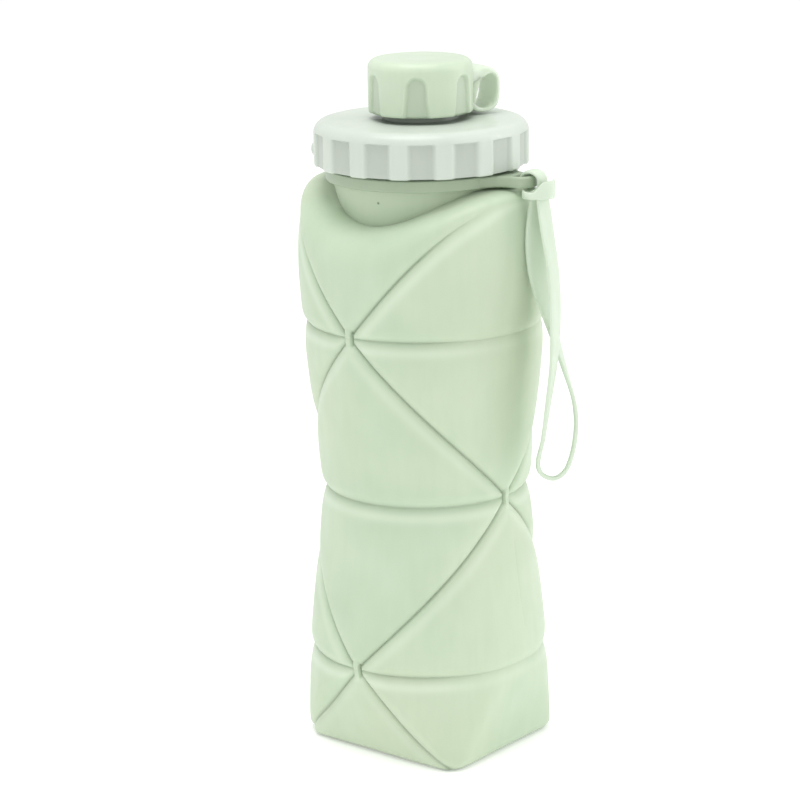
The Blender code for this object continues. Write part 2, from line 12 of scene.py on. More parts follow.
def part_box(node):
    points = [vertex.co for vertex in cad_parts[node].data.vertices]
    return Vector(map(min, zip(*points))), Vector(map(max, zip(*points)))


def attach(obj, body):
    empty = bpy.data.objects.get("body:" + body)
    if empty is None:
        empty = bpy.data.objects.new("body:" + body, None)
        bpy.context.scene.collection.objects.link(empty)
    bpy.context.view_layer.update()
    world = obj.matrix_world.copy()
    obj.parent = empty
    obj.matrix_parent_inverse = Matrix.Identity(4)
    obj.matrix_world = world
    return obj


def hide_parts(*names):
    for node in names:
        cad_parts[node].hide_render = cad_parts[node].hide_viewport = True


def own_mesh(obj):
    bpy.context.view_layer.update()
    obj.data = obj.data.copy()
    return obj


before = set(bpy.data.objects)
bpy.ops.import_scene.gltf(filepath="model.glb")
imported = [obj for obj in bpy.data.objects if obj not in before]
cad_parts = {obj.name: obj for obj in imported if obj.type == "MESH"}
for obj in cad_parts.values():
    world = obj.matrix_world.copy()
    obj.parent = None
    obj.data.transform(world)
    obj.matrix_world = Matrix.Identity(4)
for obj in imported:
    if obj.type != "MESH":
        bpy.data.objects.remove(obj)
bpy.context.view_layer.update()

MM = 0.001
QUARTER = math.pi / 2
UP = np.array([0.0, 0.0, 1.0])
VIEW = math.radians(38.8)  # the camera's bearing, from -Y towards +X; others run from +X to +Y

# ------------------------------------------------------------------ sizes, as in the CAD

# silicone body
Z_C, Z_B, Z_A = 31.8 * MM, 88.2 * MM, 144.4 * MM  # level creases
TOP = 190.9 * MM  # rim of the neck bowl
FOOT_F, FOOT_G = 30.3 * MM, 34.0 * MM  # half widths of the foot
FRONT_CORNER = math.atan2(FOOT_F, FOOT_G)  # below +X, and its twin behind
FACETS = ((FOOT_G, 0.175), (FOOT_F, 0.29))  # the flat sides' half widths, and how they lean out
LINING = 2.6 * MM  # depth of the inner face under the outer one

# (height, radius) of the body where no flat side cuts it, in millimetres
WALL_PROFILE = [
    (0, 41.3), (10, 41.0), (23, 40.5), (31.8, 40.0), (38, 39.7), (49, 38.6),
    (64, 37.0), (76, 35.6), (88.2, 34.7), (99, 35.7), (113, 36.9), (122, 38.0),
    (134, 39.2), (144.4, 39.9), (152, 40.4), (160, 40.9), (170, 41.0), (200, 41.0),
]
# (radius, height) down the hole that holds the neck insert, in millimetres
SOCKET_PROFILE = [(25.0, 190.9), (25.0, 176.2), (25.6, 175.5), (30.0, 174.2), (34.0, 171.8), (36.8, 168.0)]

# creases: (height, angles of the nodes that interrupt it, how far it fades on the side panels)
LEVEL_CREASES = (
    (Z_C, (-QUARTER, QUARTER), 0.65),
    (Z_B, (0.0, math.pi), 0.0),
    (Z_A, (-QUARTER, QUARTER), 0.65),
)
NODE_BAR = 1.3 * MM  # half width of the upright bar at each node
NODE_TALL = 2.1 * MM  # half height of that bar
NODE_RISE = 1.5 * MM  # the diagonals meet the bar this far above and below its middle
NODE_RADIUS = 38.0 * MM  # of the wall, about the nodes
VENT = (4.4 * MM, -27.8 * MM, 187.0 * MM)  # pin-prick vent mark on the neck bowl
BODY_COLUMNS, ROW_STEP = 560, 0.5 * MM

# lid and cap
THREAD_LEAD = 6.4 * MM
LID_RADIUS, LID_BORE = 35.0 * MM, 31.6 * MM
LID_BOTTOM, LID_TOP = 195.8 * MM, 210.3 * MM
SPOUT_RADIUS = 12.0 * MM
FLUTES, FLUTE = 15, 1.1 * MM  # how many, and how deep they are sunk
LID_PHASE = (-39.2 / 360.0 * FLUTES) % 1.0  # one raised bar lies at -39.2 degrees
GATE_TURN = math.radians(-148.0)  # bearing of the lump where the lid was gated
CAP_RADIUS, CAP_BORE = 17.0 * MM, 14.2 * MM
CAP_BOTTOM, CAP_TOP = 212.5 * MM, 230.0 * MM
GRIPS, GRIP_DEPTH = 6, 1.15 * MM
GRIP_TURN = -56.0  # bearing of the first grip, in degrees
GRIP_ARCH = 222.0 * MM  # the grips' sides go up to here, and end in arches
LOOP_TURN = math.radians(69.0)  # bearing of the carry loop, in place of the third grip

# (out from the axis, height, thickness) along the carry loop and its web, in millimetres
LOOP_PATH = [
    (14.8, 223.4, 6.0), (18.0, 223.7, 5.4), (20.2, 224.1, 4.3), (22.2, 224.5, 3.0),
    (24.2, 224.1, 2.0), (25.8, 222.2, 1.5), (26.1, 219.2, 1.4), (25.9, 216.0, 1.4),
    (25.1, 213.6, 1.5), (23.3, 212.2, 1.5), (20.8, 211.8, 1.5), (18.2, 212.3, 1.9),
    (15.0, 214.0, 3.0),
]
WEB_PATH = [
    (15.9, 212.7, 1.6), (16.4, 215.3, 2.4), (16.8, 218.2, 3.2), (17.4, 220.8, 4.2),
    (18.0, 223.0, 5.0),
]

# strap ring and strap
EAR = math.radians(5.0)  # bearing of the ring's ear
SLOT = 38.3  # middle of the ear's slot, out from the axis, in millimetres
BAR = 41.95 * MM  # the bar that the strap hangs on, out from the axis
Z_BAR = 193.15 * MM  # middle height of the ring and its ear
STRAP_WIDE, STRAP_THICK = 7.4 * MM, 1.4 * MM
BAND_LEAN = 0.24  # how much the band's face tips away from upright
HITCH_A, HITCH_B = 36.9 * MM, 26.2 * MM  # middle of the hitch's cup, across the view and towards it

# the wrist loop's route in millimetres: across the view, towards it, height, turn of the face
STRAP_ROUTE = [
    (38.0, 27.4, 188.7, 124), (39.6, 28.4, 177.0, 122), (41.4, 29.6, 164.0, 118),
    (41.9, 30.6, 150.0, 115), (41.3, 30.6, 135.5, 106), (39.5, 30.0, 121.5, 99),
    (38.0, 28.6, 110.0, 94), (36.4, 27.2, 101.5, 90), (37.7, 26.6, 97.3, 90),
    (41.8, 26.0, 95.7, 90), (45.6, 25.4, 98.5, 90), (47.9, 24.6, 105.0, 90),
    (48.9, 23.8, 113.0, 90), (48.2, 23.2, 121.0, 92), (45.4, 22.7, 131.0, 99),
    (42.2, 22.6, 142.0, 110), (39.0, 23.4, 154.0, 130), (36.6, 24.6, 164.5, 145),
    (35.9, 24.9, 174.0, 150), (36.6, 24.7, 182.5, 150), (37.4, 24.5, 188.7, 150),
]


# ------------------------------------------------------------------ camera, light and floor

def view_axes():
    """Level directions across the view, to its right, and out of it, towards the camera."""
    across = np.array([math.cos(VIEW), math.sin(VIEW), 0.0])
    toward = np.array([math.sin(VIEW), -math.cos(VIEW), 0.0])
    return across, toward


def add_camera():
    """A long lens about 0.93 m away, a little above the cap."""
    pitch, roll = math.radians(15.0), math.radians(-0.85)
    reach, height = 0.8646, 0.3432
    across, toward = (Vector(axis) for axis in view_axes())
    up = Vector(UP)
    look = -toward * math.cos(pitch) - up * math.sin(pitch)
    tilted = up * math.cos(pitch) - toward * math.sin(pitch)
    side = across * math.cos(roll) + tilted * math.sin(roll)
    top = side.cross(look)
    data = bpy.data.cameras.new("camera")
    cam = bpy.data.objects.new("camera", data)
    bpy.context.scene.collection.objects.link(cam)
    turn = Matrix((side, top, -look)).transposed()
    cam.matrix_world = Matrix.Translation(toward * reach + up * height) @ turn.to_4x4()
    data.sensor_width = 36.0
    data.lens = 120.825
    data.shift_x = -0.0316
    data.shift_y = 0.0157
    data.clip_start, data.clip_end = 0.05, 50.0
    bpy.context.scene.camera = cam


def add_world():
    """A bright, even surround."""
    bpy.context.scene.view_settings.view_transform = "Standard"
    world = bpy.data.worlds.new("studio")
    bpy.context.scene.world = world
    world.use_nodes = True
    back = world.node_tree.nodes["Background"]
    back.inputs["Color"].default_value = (1.0, 1.0, 1.0, 1.0)
    back.inputs["Strength"].default_value = 0.82


def area_light(name, place, size, power):
    """A softbox that faces the bottle's middle. Its place is (towards the camera, aside, up)."""
    across, outward = view_axes()
    toward, aside, tall = place
    spot = Vector(outward * toward + across * aside + UP * tall)
    data = bpy.data.lights.new(name, "AREA")
    data.shape = "RECTANGLE"
    data.size, data.size_y = size
    data.energy = power
    lamp = bpy.data.objects.new(name, data)
    bpy.context.scene.collection.objects.link(lamp)
    lamp.location = spot
    aim = Vector((0.0, 0.0, 0.11)) - spot
    lamp.rotation_euler = aim.to_track_quat("-Z", "Y").to_euler()


def add_lights():
    """A strong softbox overhead, a weaker one at the right and a faint one in front."""
    area_light("softbox_front", (0.9, 0.5, 1.1), (0.7, 0.7), 0.3)
    area_light("softbox_right", (-0.1, 1.1, 0.5), (0.5, 1.0), 2.6)
    area_light("softbox_top", (0.15, -0.15, 1.4), (0.8, 0.8), 8.5)


def add_floor():
    """A white floor that glows a little, so that it stays white to the horizon."""
    bm = bmesh.new()
    bmesh.ops.create_grid(bm, x_segments=1, y_segments=1, size=12.0)
    mesh = bpy.data.meshes.new("floor")
    bm.to_mesh(mesh)
    bm.free()
    floor = bpy.data.objects.new("floor", mesh)
    bpy.context.scene.collection.objects.link(floor)
    floor.location.z = -0.0002
    pale = bpy.data.materials.new("floor_pale")
    pale.use_nodes = True
    shader = pale.node_tree.nodes["Principled BSDF"]
    shader.inputs["Base Color"].default_value = (0.95, 0.95, 0.945, 1.0)
    shader.inputs["Roughness"].default_value = 0.9
    shader.inputs["Emission Color"].default_value = (1.0, 1.0, 1.0, 1.0)
    shader.inputs["Emission Strength"].default_value = 0.2
    mesh.materials.append(pale)


# ------------------------------------------------------------------ shape helpers

def smooth_step(x, low, high):
    t = np.clip((x - low) / (high - low), 0.0, 1.0)
    return t * t * (3 - 2 * t)


def smooth_min(a, b, soft):
    """The smaller of two values, with the corner between them rounded off."""
    share = np.clip(0.5 + 0.5 * (b - a) / soft, 0.0, 1.0)
    return b + (a - b) * share - soft * share * (1 - share)


def falling(away, reach, power=1.5):
    """1 on a line, going down to 0 beyond its reach."""
    return np.exp(-((away / reach) ** power))


def angle_gap(a, b):
    return (a - b + math.pi) % (2 * math.pi) - math.pi


def ring_points(radius, angle, z):
    x, y, z = np.broadcast_arrays(radius * np.cos(angle), radius * np.sin(angle), z)
    return np.stack([x, y, z], axis=-1)


def turned_points(out, aside, z, bearing):
    """Points given out from the axis and aside from a bearing."""
    c, s = math.cos(bearing), math.sin(bearing)
    x, y, z = np.broadcast_arrays(out * c - aside * s, out * s + aside * c, z)
    return np.stack([x, y, z], axis=-1)


def rounded(profile):
    """Corners given as (r, z, radius) become arcs; plain (r, z) stays a point."""
    out = []
    count = len(profile)
    steps = 7
    for k, corner in enumerate(profile):
        here = np.array(corner[:2], float)
        if len(corner) < 3 or corner[2] <= 0:
            out.append(here)
            continue
        a = np.array(profile[k - 1][:2], float) - here
        b = np.array(profile[(k + 1) % count][:2], float) - here
        reach_a, reach_b = np.linalg.norm(a), np.linalg.norm(b)
        a, b = a / reach_a, b / reach_b
        half = math.acos(max(-1.0, min(1.0, float(a @ b)))) / 2
        cut = min(corner[2] / math.tan(half), 0.48 * reach_a, 0.48 * reach_b)
        radius = cut * math.tan(half)
        centre = here + (a + b) / np.linalg.norm(a + b) * radius / math.sin(half)
        start, end = here + a * cut - centre, here + b * cut - centre
        from_angle = math.atan2(start[1], start[0])
        swing = math.atan2(end[1], end[0]) - from_angle
        swing = (swing + math.pi) % (2 * math.pi) - math.pi
        for i in range(steps + 1):
            t = from_angle + swing * i / steps
            out.append(centre + radius * np.array([math.cos(t), math.sin(t)]))
    return np.array(out)


def spline(points, per_span):
    """A smooth curve through points of any number of values."""
    points = np.array(points, float)
    padded = np.vstack([2 * points[0] - points[1], points, 2 * points[-1] - points[-2]])
    out = []
    for k in range(1, len(padded) - 2):
        a, b, c, d = padded[k - 1 : k + 3]
        for t in np.linspace(0, 1, per_span, endpoint=False):
            square = (2 * a - 5 * b + 4 * c - d) * t**2
            cube = (3 * b - a - 3 * c + d) * t**3
            out.append(0.5 * (2 * b + (c - a) * t + square + cube))
    out.append(points[-1])
    return np.array(out)


def section(thick, wide, steps, power):
    """A flat band's cross-section with soft edges: (along the width, through the thickness)."""
    turn = np.linspace(0, 2 * math.pi, steps, endpoint=False)
    c, s = np.cos(turn), np.sin(turn)
    reach = (np.abs(c) ** power + np.abs(s) ** power) ** (-1 / power)
    return np.stack([reach * c * wide / 2, reach * s * thick / 2], axis=-1)


def band_rows(points, sides, thick, wide, steps, power):
    """Rows of points round a flat band; thick and wide may change along it."""
    count = len(points)
    thick = np.broadcast_to(thick, count)
    wide = np.broadcast_to(wide, count)
    along = np.gradient(points, axis=0)
    along /= np.linalg.norm(along, axis=1)[:, None]
    side = sides - along * np.sum(sides * along, axis=1)[:, None]
    side /= np.linalg.norm(side, axis=1)[:, None]
    out = np.cross(along, side)
    rows = []
    for k in range(count):
        flat = section(thick[k], wide[k], steps, power)
        rows.append(points[k] + flat[:, :1] * side[k] + flat[:, 1:] * out[k])
    return np.array(rows)


def thread_rows(root, crest, z_start, turns, first):
    """A helical ridge with tapered ends, sunk a little into its wall."""
    count = int(turns * 96) + 1
    foot_half, tip_half = 0.95 * MM, 0.35 * MM
    sink = 0.35 * MM * (1 if root > crest else -1)
    rows = []
    for k in range(count):
        share = k / (count - 1)
        turn = first + 2 * math.pi * turns * share
        z = z_start + THREAD_LEAD * turns * share
        grow = min(1.0, share * 9.0, (1 - share) * 9.0)
        tip = root + (crest - root) * grow
        profile = [(root + sink, -foot_half), (root, -foot_half * 0.95), (tip, -tip_half)]
        profile += [(tip, tip_half), (root, foot_half * 0.95), (root + sink, foot_half)]
        rows.append([(r * math.cos(turn), r * math.sin(turn), z + dz) for r, dz in profile])
    return np.array(rows)


def double_thread(root, crest, z_start, turns, first=0.0):
    return [thread_rows(root, crest, z_start, turns, first + math.pi * k) for k in range(2)]


# ------------------------------------------------------------------ mesh helpers

def grid_faces(rows, columns, closed_rows=False):
    """Quads of a grid whose rows are closed rings of points, rows going up the outside."""
    r = np.arange(rows if closed_rows else rows - 1)[:, None]
    c = np.arange(columns)[None, :]
    here = r * columns + c
    beside = r * columns + (c + 1) % columns
    above = (r + 1) % rows * columns + c
    above_beside = (r + 1) % rows * columns + (c + 1) % columns
    return np.stack([here, beside, above_beside, above], axis=-1).reshape(-1, 4)


def make_object(name, points, faces, body, stands_for=()):
    mesh = bpy.data.meshes.new(name)
    mesh.from_pydata([tuple(p) for p in points], [], faces)
    mesh.validate()
    mesh.polygons.foreach_set("use_smooth", [True] * len(mesh.polygons))
    made = bpy.data.objects.new(name, mesh)
    bpy.context.scene.collection.objects.link(made)
    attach(made, body)
    if stands_for:
        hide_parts(*stands_for)
    return made


def revolve(name, profile, body, steps, stands_for):
    """A profile of (radius, z) in millimetres, listed up the outside and back down the inside."""
    profile = rounded(profile) * MM
    angle = np.linspace(0, 2 * math.pi, steps, endpoint=False)
    points = ring_points(profile[:, :1], angle, profile[:, 1:])
    faces = grid_faces(len(profile), steps, closed_rows=True)
    return make_object(name, points.reshape(-1, 3), faces.tolist(), body, stands_for)


def band(name, rows, body, stands_for=(), closed=False):
    count, steps = rows.shape[:2]
    faces = grid_faces(count, steps, closed_rows=closed).tolist()
    if not closed:
        faces.append(list(range(steps))[::-1])
        last = (count - 1) * steps
        faces.append(list(range(last, last + steps)))
    return make_object(name, rows.reshape(-1, 3), faces, body, stands_for)


def add_shells(made, shells):
    """Joins closed shells of rows into a mesh, for ridges and loops moulded on a piece."""
    bm = bmesh.new()
    bm.from_mesh(made.data)
    for rows in shells:
        count, steps = rows.shape[:2]
        verts = [bm.verts.new(p) for p in rows.reshape(-1, 3)]
        for quad in grid_faces(count, steps).tolist():
            bm.faces.new([verts[i] for i in quad]).smooth = True
        bm.faces.new(verts[:steps][::-1])
        bm.faces.new(verts[-steps:])
    bmesh.ops.recalc_face_normals(bm, faces=bm.faces)
    bm.to_mesh(made.data)
    bm.free()


def mark(made, values):
    """Writes the first points' paint for the material: 1 is the darkest painted shade, 0 plain and -1 the
    palest painted light.
    """
    attribute = made.data.attributes.new("crease", "FLOAT", "POINT")
    full = np.zeros(len(made.data.vertices), np.float32)
    full[: len(values)] = values
    attribute.data.foreach_set("value", full)


def finish_mesh(made, look, sharp=38.0):
    """One material, and hard edges where faces meet at more than the given degrees."""
    made.data.materials.clear()
    made.data.materials.append(look)
    made.data.set_sharp_from_angle(angle=math.radians(sharp))


# ------------------------------------------------------------------ silicone body

def round_radius(z):
    """Radius of the body where no flat side cuts it: the profile, smoothed."""
    heights, radii = np.array(WALL_PROFILE).T
    knots = np.linspace(0, 200, 401)
    kernel = np.hanning(13)
    padded = np.pad(np.interp(knots, heights, radii), 6, mode="edge")
    smoothed = np.convolve(padded, kernel / kernel.sum(), mode="valid")
    return np.interp(z / MM, knots, smoothed) * MM


def facet_radius(angle, z):
    """The body before its creases: a round wall cut by the foot's four flat sides."""
    corner = falling(angle_gap(2 * angle, -2 * FRONT_CORNER), 0.5, 2)
    wall = round_radius(z) + 2.4 * MM * corner * np.clip(1 - z / (24.0 * MM), 0.0, 1.0)
    for side in range(4):
        half_width, lean = FACETS[side % 2]
        cosine = np.cos(angle - side * QUARTER)
        plane = (half_width + lean * z) / np.maximum(cosine, 0.2)
        wall = smooth_min(wall, np.where(cosine > 0.2, plane, 1.0), 1.2 * MM)
    return wall


def shoulder_line(angle):
    """Height where the shoulder runs into the neck bowl: low on F, high on G."""
    line = 185.0 * MM + 6.0 * MM * np.cos(2 * angle)
    return smooth_min(line, 190.5 * MM, 0.8 * MM)


def bowl_radius(z):
    low, wide, narrow = 178.0 * MM, 29.0 * MM, 26.4 * MM
    share = np.clip((z - low) / (TOP - low), 0.0, 1.0)
    return narrow + (wide - narrow) * share**1.3


def rolled_over(wall, angle, z, line):
    """The shoulder rolls over to the bowl, more tightly towards the sides than on F."""
    tight = 0.5 + 0.5 * np.cos(2 * angle)
    reach = (15.5 - 6.0 * tight) * MM
    power = 2.3 + 2.2 * tight
    share = np.clip((z - line + reach) / reach, 0.0, 1.0)
    roll = (1 - share**power) ** (1 / power)
    rim = bowl_radius(line)
    return rim + (wall - rim) * roll


def crease_lines():
    """Every slanting crease as (angles, heights, strength of the painted highlight below it, how far it
    fades). From a node they climb a quarter turn to a node on the next level, or run out at the shoulder or
    the foot. They stop at the sides of the nodes' bars, which come last."""
    clear = NODE_BAR / NODE_RADIUS
    share = np.linspace(0.0, 1.0, 25)
    # how far each kind of crease is bent off its straight line
    bend = np.sin(math.pi * share)
    shoulder_bend = 3.9 * MM * np.sin(math.pi * np.minimum(share / 0.75, 1.0)) ** 1.2
    foot_bend = 2.5 * MM * np.sin(math.pi * share**0.75)
    lines = []
    for front in (-QUARTER, QUARTER):
        for way in (-1.0, 1.0):
            across = front + way * (clear + (QUARTER - 2 * clear) * share)
            start, end = Z_A - NODE_RISE, Z_B + NODE_RISE
            lines.append((across, start + (end - start) * share - 2.0 * MM * bend, 0.6, 0.0))
            start, end = Z_C + NODE_RISE, Z_B - NODE_RISE
            bow = (2.2 - 1.1 * way) * MM
            lines.append((across, start + (end - start) * share + bow * bend, 0.6, 0.0))
            up = front + way * (clear + (QUARTER - clear) * share)
            start, end = Z_A + NODE_RISE, shoulder_line(up) - 0.4 * MM
            climb = start + (end - start) * np.sin(share * QUARTER)
            lines.append((up, climb + shoulder_bend, 0.9, 0.9))
            down = front + way * (clear + math.radians(49.0) * share)
            foot = (Z_C - NODE_RISE) * (1 - 1.03 * share)
            lines.append((down, foot - (foot_bend if way > 0 else 0.0), 0.3, 0.0))
    for level, nodes, _ in LEVEL_CREASES:
        for node in nodes:
            for way in (-1.0, 1.0):
                side = np.full(5, node + way * clear)
                lines.append((side, level + np.linspace(-NODE_TALL, NODE_TALL, 5), 0.0, 0.0))
    return lines


def parting_lines():
    """The mould's parting line on each side panel's lower half."""
    heights = np.array([43.4, 50.0, 58.6, 66.0, 73.0]) * MM
    turn = np.radians(np.array([4.2, 3.0, 2.1, 1.8, 1.6]))
    return [(turn, heights), (turn + math.pi, heights)]


def line_distance(angle, z, line_angle, line_z, radius):
    """Distance along the wall from each point to a line, and whether it lies above it."""
    best = np.full(angle.shape, 1.0)
    above = np.zeros(angle.shape, bool)
    for k in range(len(line_angle) - 1):
        du = angle_gap(angle, line_angle[k]) * radius
        dv = z - line_z[k]
        su = (line_angle[k + 1] - line_angle[k]) * radius
        sv = line_z[k + 1] - line_z[k]
        near = np.clip((du * su + dv * sv) / np.maximum(su * su + sv * sv, 1e-12), 0.0, 1.0)
        across, up = du - su * near, dv - sv * near
        away = np.hypot(across, up)
        above = np.where(away < best, up > 0, above)
        best = np.minimum(best, away)
    return best, above


def painted_highlight_band(away):
    """Painted highlight: a paler band along the lower side of a crease, where its slope faces up to the light
    overhead.
    """
    return falling(away - 3.2 * MM, 1.7 * MM, 2)


def outer_radius(angle, z):
    """Outer surface of the silicone, and its paint: up to 1 for painted shade in a crease, to -1 for a
    painted highlight below it.
    """
    line = shoulder_line(angle)
    wall = rolled_over(facet_radius(angle, z), angle, z, line)
    # a crease is a wide dip, a narrower fold in it and a sharp slit at the bottom
    dip, fold, slit, shade, pale, inside_bar = (np.zeros(angle.shape) for _ in range(6))
    for level, nodes, fading in LEVEL_CREASES:
        far = np.abs(z - level)
        kept = 1 - fading * smooth_step(np.abs(np.cos(angle)), 0.6, 1.02)
        slope = np.where(z > level, 2.2 * MM, 4.8 * MM)
        dip = np.maximum(dip, (0.4 + 0.6 * kept) * falling(far, slope))
        fold = np.maximum(fold, 0.8 * kept * falling(far, 1.5 * MM))
        slit = np.maximum(slit, 0.55 * kept * falling(far, 0.45 * MM, 2))
        shade = np.maximum(shade, kept * (z > level) * falling(far, 2.2 * MM))
        pale = np.maximum(pale, kept * (z < level) * painted_highlight_band(far))
        for node in nodes:
            aside = np.abs(angle_gap(angle, node)) * wall
            bar = 1 - smooth_step(aside, NODE_BAR - 0.45 * MM, NODE_BAR)
            inside_bar = np.maximum(inside_bar, bar * (1 - smooth_step(far, 2.0 * MM, 4.2 * MM)))
    for line_angle, line_z, highlight_paint, fading in crease_lines():
        away, above = line_distance(angle, z, line_angle, line_z, wall)
        along = np.abs(angle_gap(angle, line_angle[0])) / QUARTER
        kept = 1 - fading * smooth_step(along, 0.3, 0.78)
        slope = np.where(above, 2.6 * MM, 4.4 * MM)
        dip = np.maximum(dip, falling(away, slope))
        fold = np.maximum(fold, kept * falling(away, 1.2 * MM))
        slit = np.maximum(slit, kept * falling(away, 0.4 * MM, 2))
        pale = np.maximum(pale, highlight_paint * ~above * painted_highlight_band(away))
    outside_bar = 1 - inside_bar
    fade = 1 - smooth_step(z, line - 5.5 * MM, line - 1.0 * MM)
    fade = fade * smooth_step(z, -1.0 * MM, 1.5 * MM)
    depth = (1.3 * dip + (0.55 * fold + 0.5 * slit) * outside_bar) * MM
    wall = wall - depth * fade + 0.45 * MM * inside_bar
    thin = np.zeros(angle.shape)
    for line_angle, line_z in parting_lines():
        away, _ = line_distance(angle, z, line_angle, line_z, wall)
        thin = np.maximum(thin, falling(away, 0.3 * MM, 2))
    foot_edge = np.clip(1 - z / (3.4 * MM), 0.0, 1.0)
    wall = wall - 0.14 * MM * thin - 3.0 * MM * (1 - np.sqrt(1 - foot_edge**2))
    # painted shade in the folds and slits and on the slope above each level crease, and a painted highlight
    # below each crease
    paint = (0.16 * fold + 0.7 * slit + 0.2 * shade - pale * (1 - fold)) * outside_bar * fade
    # the parting line drawn darker, and a painted contact shadow along the foot's bottom edge
    paint = paint + 0.28 * thin + 0.9 * falling(z, 0.8 * MM, 2)
    return wall, np.clip(paint, -1.0, 1.0)


def body_rows(low, high):
    """Row heights, closer together near the level creases."""
    rows = [low]
    while rows[-1] < high - 1e-7:
        z = rows[-1]
        near = min(abs(z - level) for level in (Z_A, Z_B, Z_C))
        wanted = ROW_STEP * (0.45 + 0.55 * min(1.0, near / (3.0 * MM)))
        rows.append(min(high, z + wanted))
    if rows[-1] - rows[-2] < 0.2 * ROW_STEP:
        rows.pop(-2)
    return np.array(rows)


def shoulder_grid(angle, low):
    """Angles, heights, radii and paint of the shoulder and the bowl. The rows follow the seam
    between them, and lie closer together towards it."""
    line = shoulder_line(angle)
    share = np.concatenate([np.linspace(0, 0.8, 84), 1 - 0.2 * np.linspace(0.985, 0, 44) ** 1.6])
    wide_angle, share = np.meshgrid(angle, share)
    z = low + (line - low) * share
    radius, paint = outer_radius(wide_angle, z)
    # painted shade along the seam where the shoulder meets the bowl
    near = 0.6 * falling(np.hypot(line - z, radius - bowl_radius(line)), 0.5 * MM, 2)
    paint = np.where(near > 0.02, np.maximum(paint, near), paint)

    rise = np.concatenate([[0.02, 0.05], np.linspace(0.1, 1.0, 12)])
    bowl_angle, rise = np.meshgrid(angle, rise)
    bowl_z = line + (TOP - line) * rise
    seam = falling(bowl_z - line, 0.6 * MM, 2)
    bowl = bowl_radius(bowl_z) - 0.12 * MM * seam
    # painted shade in the seam, and a painted shadow of the lid over the bowl, darker towards the top
    bowl_painted_shade = np.maximum(0.5 * seam, 0.22 + 0.18 * rise)
    pairs = ((wide_angle, bowl_angle), (z, bowl_z), (radius, bowl), (paint, bowl_painted_shade))
    return [np.concatenate(pair) for pair in pairs]


def inside_rows(low, high, angle):
    """Rows of points down the inside of a piece of the body."""
    rows = []
    if high == TOP:
        rows += [ring_points(radius * MM, angle, z * MM) for radius, z in SOCKET_PROFILE]
    for z in np.linspace(min(high, 160 * MM), max(low, 4.5 * MM), 24):
        rows.append(ring_points(facet_radius(angle, z) - LINING, angle, z))
    if low == 0:
        z = 3.0 * MM
        rows.append(ring_points(facet_radius(angle, z) - LINING - 2.0 * MM, angle, z))
    return np.array(rows)


def silicone_piece(name, low, high, body, stands_for):
    angle = np.linspace(0, 2 * math.pi, BODY_COLUMNS, endpoint=False)
    if high == TOP:
        grid_angle, grid_z, radius, paint = shoulder_grid(angle, low)
    else:
        grid_angle, grid_z = np.meshgrid(angle, body_rows(low, high))
        radius, paint = outer_radius(grid_angle, grid_z)
    outside = ring_points(radius, grid_angle, grid_z)
    points = np.concatenate([outside, inside_rows(low, high, angle)])
    faces = grid_faces(len(points), BODY_COLUMNS, closed_rows=low > 0).tolist()
    if low == 0:
        # the foot is closed by its underside and by its floor inside
        last = (len(points) - 1) * BODY_COLUMNS
        faces.append(list(range(BODY_COLUMNS))[::-1])
        faces.append(list(range(last, last + BODY_COLUMNS)))
    made = make_object(name, points.reshape(-1, 3), faces, body, stands_for)
    mark(made, paint.reshape(-1))
    return made


# ------------------------------------------------------------------ materials

class Shading:
    """A Principled material, and short ways to add nodes to it."""

    def __init__(self, name):
        self.material = bpy.data.materials.new(name)
        self.material.use_nodes = True
        self.tree = self.material.node_tree
        self.shader = self.tree.nodes["Principled BSDF"]
        self.shader.inputs["Subsurface Radius"].default_value = (1.0, 1.0, 1.0)
        self.place = self.tree.nodes.new("ShaderNodeTexCoord").outputs["Object"]

    def put(self, socket, value):
        if isinstance(value, bpy.types.NodeSocket):
            self.tree.links.new(value, socket)
        else:
            socket.default_value = value

    def node(self, kind, inputs, **settings):
        made = self.tree.nodes.new(kind)
        for key, value in settings.items():
            setattr(made, key, value)
        for key, value in inputs.items():
            self.put(made.inputs[key], value)
        return made

    def noise(self, scale, detail, rough, stretch=(1.0, 1.0, 1.0)):
        moved = self.node("ShaderNodeMapping", {"Vector": self.place, "Scale": stretch})
        inputs = {"Vector": moved.outputs[0], "Scale": scale, "Detail": detail, "Roughness": rough}
        return self.node("ShaderNodeTexNoise", inputs).outputs["Fac"]

    def remap(self, value, low, high, to_low, to_high):
        inputs = {0: value, 1: low, 2: high, 3: to_low, 4: to_high}
        return self.node("ShaderNodeMapRange", inputs).outputs[0]

    def mix(self, share, a, b):
        return self.node("ShaderNodeMix", {0: share, 6: a, 7: b}, data_type="RGBA").outputs[2]

    def bump(self, height, strength, distance):
        inputs = {"Height": height, "Strength": strength, "Distance": distance}
        return self.node("ShaderNodeBump", inputs)

    def fixed(self, **values):
        for key, value in values.items():
            self.put(self.shader.inputs[key.replace("_", " ")], value)


def colour(red, green, blue):
    """A colour as seen on screen, 0 to 255, made linear for a shader."""
    def linear(c):
        c /= 255.0
        return c / 12.92 if c <= 0.04045 else ((c + 0.055) / 1.055) ** 2.4

    return (linear(red), linear(green), linear(blue), 1.0)


def paint_shade_and_highlight(look, tint, deep, painted_shade_share):
    """Painted shade and painted light: darkens the tint where the mesh's paint is above 0.15, and pales it
    where the paint is below 0.
    """
    paint = look.node("ShaderNodeAttribute", {}, attribute_name="crease").outputs["Fac"]
    shade_paint = tuple(0.42 * c for c in deep[:3]) + (1.0,)
    tint = look.mix(look.remap(paint, 0.15, 1.0, 0.0, painted_shade_share), tint, shade_paint)
    return look.mix(look.remap(paint, -1.0, 0.0, 0.34, 0.0), tint, colour(228, 240, 222))


def paint_vent(look, tint):
    """A pin-prick of a vent mark."""
    away = look.node("ShaderNodeVectorMath", {0: look.place, 1: VENT}, operation="DISTANCE")
    share = look.remap(away.outputs["Value"], 0.0002, 0.0006, 0.8, 0.0)
    return look.mix(share, tint, colour(66, 84, 60))


